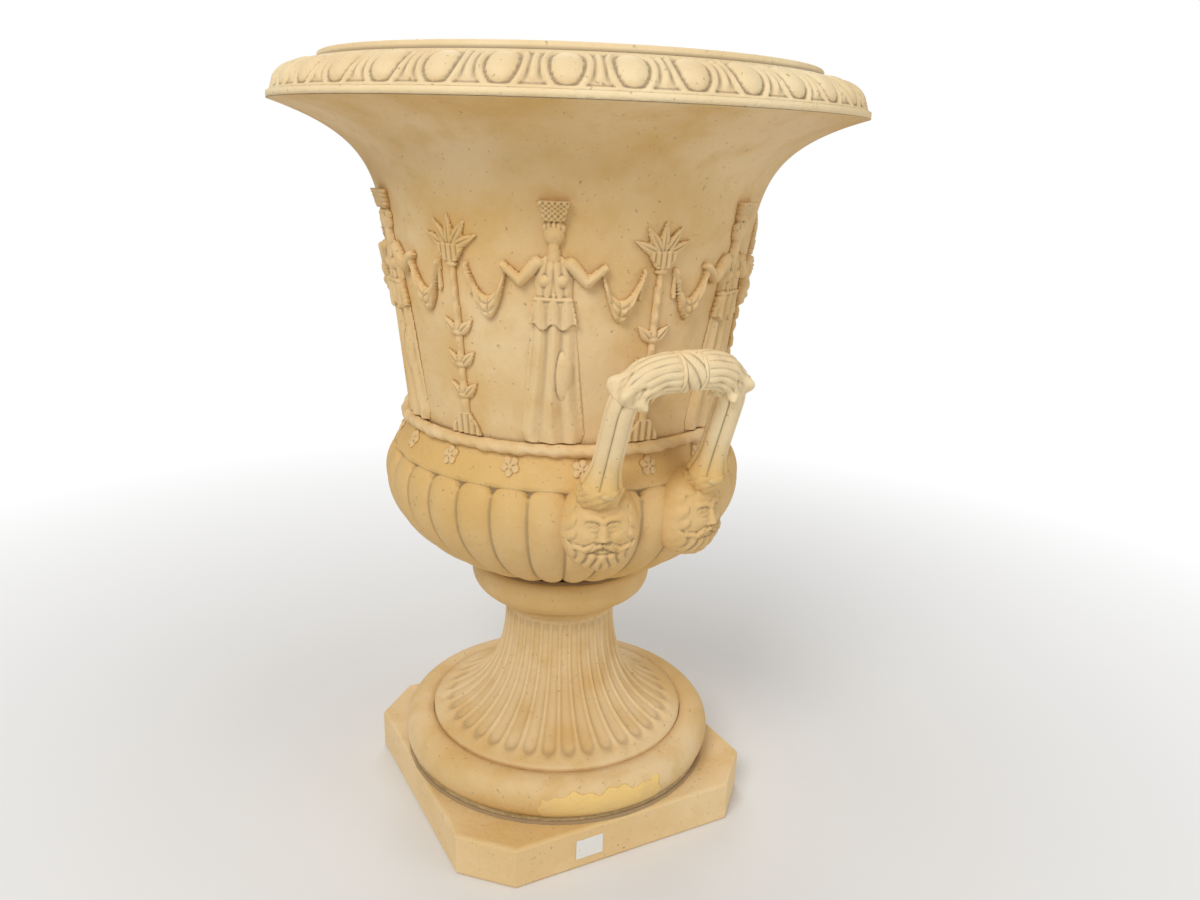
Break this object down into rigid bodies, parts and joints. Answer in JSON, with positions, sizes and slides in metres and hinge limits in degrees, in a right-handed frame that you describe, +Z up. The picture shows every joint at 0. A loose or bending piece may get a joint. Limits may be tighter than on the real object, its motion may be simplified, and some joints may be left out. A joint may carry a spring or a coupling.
{
  "type": "campana vase",
  "caption": "Terracotta campana vase: bell body with applied reliefs, gadrooned bowl, fluted foot on a plinth, egg-and-dart rim and looped handles over bearded masks.",
  "frame": {"origin": "centre of the plinth's underside, on the axis of the vase", "axes": "+Z up along the axis of the vase, +X through the middle of the right handle and the face of the plinth that carries the label"},
  "size_m": [0.54, 0.54, 0.7428],
  "materials": {
    "cream": "matte",
    "pale": "matte",
    "ochre": "matte",
    "mortar": "rough",
    "filler": "satin",
    "paper": "matte"
  },
  "bodies": {
    "root": {"plinth": "cream", "foot_mortar": "mortar", "fluted_foot": "cream", "base_torus": "cream", "torus_repair": "filler", "stem_collar": "ochre", "bowl_mortar": "mortar", "gadrooned_bowl": "ochre", "bell": "cream", "ground_ledge": "cream", "egg_and_dart_rim": "pale", "right_handle": "pale", "right_handle_binding": "pale", "right_handle_leaf_near": "pale", "right_handle_mask_near": "ochre", "right_handle_leaf_far": "pale", "right_handle_mask_far": "ochre", "left_handle": "pale", "left_handle_binding": "pale", "left_handle_leaf_near": "pale", "left_handle_mask_near": "ochre", "left_handle_leaf_far": "pale", "left_handle_mask_far": "ochre", "rosette_01": "cream", "rosette_02": "cream", "rosette_03": "cream", "rosette_04": "cream", "rosette_05": "cream", "rosette_06": "cream", "rosette_07": "cream", "rosette_08": "cream", "rosette_09": "cream", "rosette_10": "cream", "rosette_11": "cream", "rosette_12": "cream", "rosette_13": "cream", "rosette_14": "cream", "rosette_15": "cream", "rosette_16": "cream", "relief_bearer_1": "cream", "relief_candelabrum_1": "cream", "relief_bearer_2": "cream", "relief_candelabrum_2": "cream", "relief_bearer_3": "cream", "relief_candelabrum_3": "cream", "relief_bearer_4": "cream", "relief_candelabrum_4": "cream", "relief_bearer_5": "cream", "relief_candelabrum_5": "cream", "relief_bearer_6": "cream", "relief_candelabrum_6": "cream", "paper_label": "paper"}
  },
  "joints": []
}
